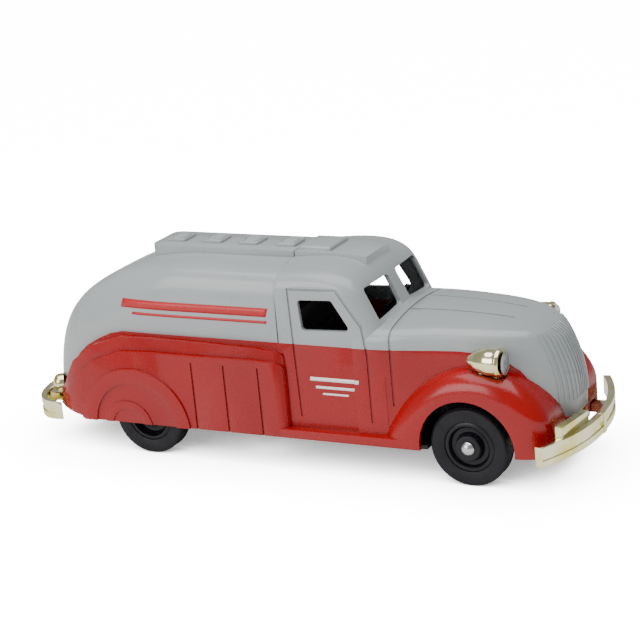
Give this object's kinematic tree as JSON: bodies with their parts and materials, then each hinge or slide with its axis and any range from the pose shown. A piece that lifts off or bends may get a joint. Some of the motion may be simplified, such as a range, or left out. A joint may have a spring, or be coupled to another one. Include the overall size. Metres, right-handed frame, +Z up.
{
  "type": "toy tanker truck",
  "caption": "Die-cast toy tanker truck with streamlined one-piece lines, open cab windows, turning wheels, plated bumpers and lamps, and a coin slot with a twist-out lid.",
  "frame": {"origin": "centre of the bounding box in plan, at ground level under the wheels", "axes": "+X forward to the front bumper, +Y to the truck's left, +Z up"},
  "size_m": [0.221, 0.0724, 0.076],
  "materials": {
    "grey_paint": "gloss",
    "red_paint": "gloss",
    "black_plastic": "satin",
    "tyre_plastic": "satin",
    "wheel_plastic": "satin",
    "steel": "satin",
    "gold_plate": "polished"
  },
  "bodies": {
    "body": {"lower_body": "red_paint", "tank_shell": "grey_paint", "cab_shell": "grey_paint", "chassis_base": "black_plastic", "base_screws": "steel", "front_axle": "steel", "rear_axle": "steel", "front_bumper": "gold_plate", "rear_bumper": "gold_plate", "tail_lamps": "gold_plate", "headlight_left": "gold_plate", "headlight_right": "gold_plate", "cab_interior": "black_plastic", "steering_wheel": "black_plastic"},
    "coin_trap": {"coin_trap": "black_plastic"},
    "front_left_wheel": {"front_left_tyre": "tyre_plastic", "front_left_disc": "wheel_plastic"},
    "front_right_wheel": {"front_right_tyre": "tyre_plastic", "front_right_disc": "wheel_plastic"},
    "rear_left_wheel": {"rear_left_tyre": "tyre_plastic", "rear_left_disc": "wheel_plastic"},
    "rear_right_wheel": {"rear_right_tyre": "tyre_plastic", "rear_right_disc": "wheel_plastic"}
  },
  "joints": [
    {"name": "front_left_spin", "type": "hinge", "parent": "body", "child": "front_left_wheel", "pos_m": [0.07161, 0.0255, 0.014], "axis": [0, 1, 0], "continuous": true},
    {"name": "front_right_spin", "type": "hinge", "parent": "body", "child": "front_right_wheel", "pos_m": [0.07161, -0.0255, 0.014], "axis": [0, 1, 0], "continuous": true},
    {"name": "rear_left_spin", "type": "hinge", "parent": "body", "child": "rear_left_wheel", "pos_m": [-0.05559, 0.0255, 0.014], "axis": [0, 1, 0], "continuous": true},
    {"name": "rear_right_spin", "type": "hinge", "parent": "body", "child": "rear_right_wheel", "pos_m": [-0.05559, -0.0255, 0.014], "axis": [0, 1, 0], "continuous": true},
    {"name": "coin_trap_turn", "type": "hinge", "parent": "body", "child": "coin_trap", "pos_m": [-0.014, 0, 0.0116], "axis": [0, 0, 1], "range_deg": [0, 90]}
  ]
}
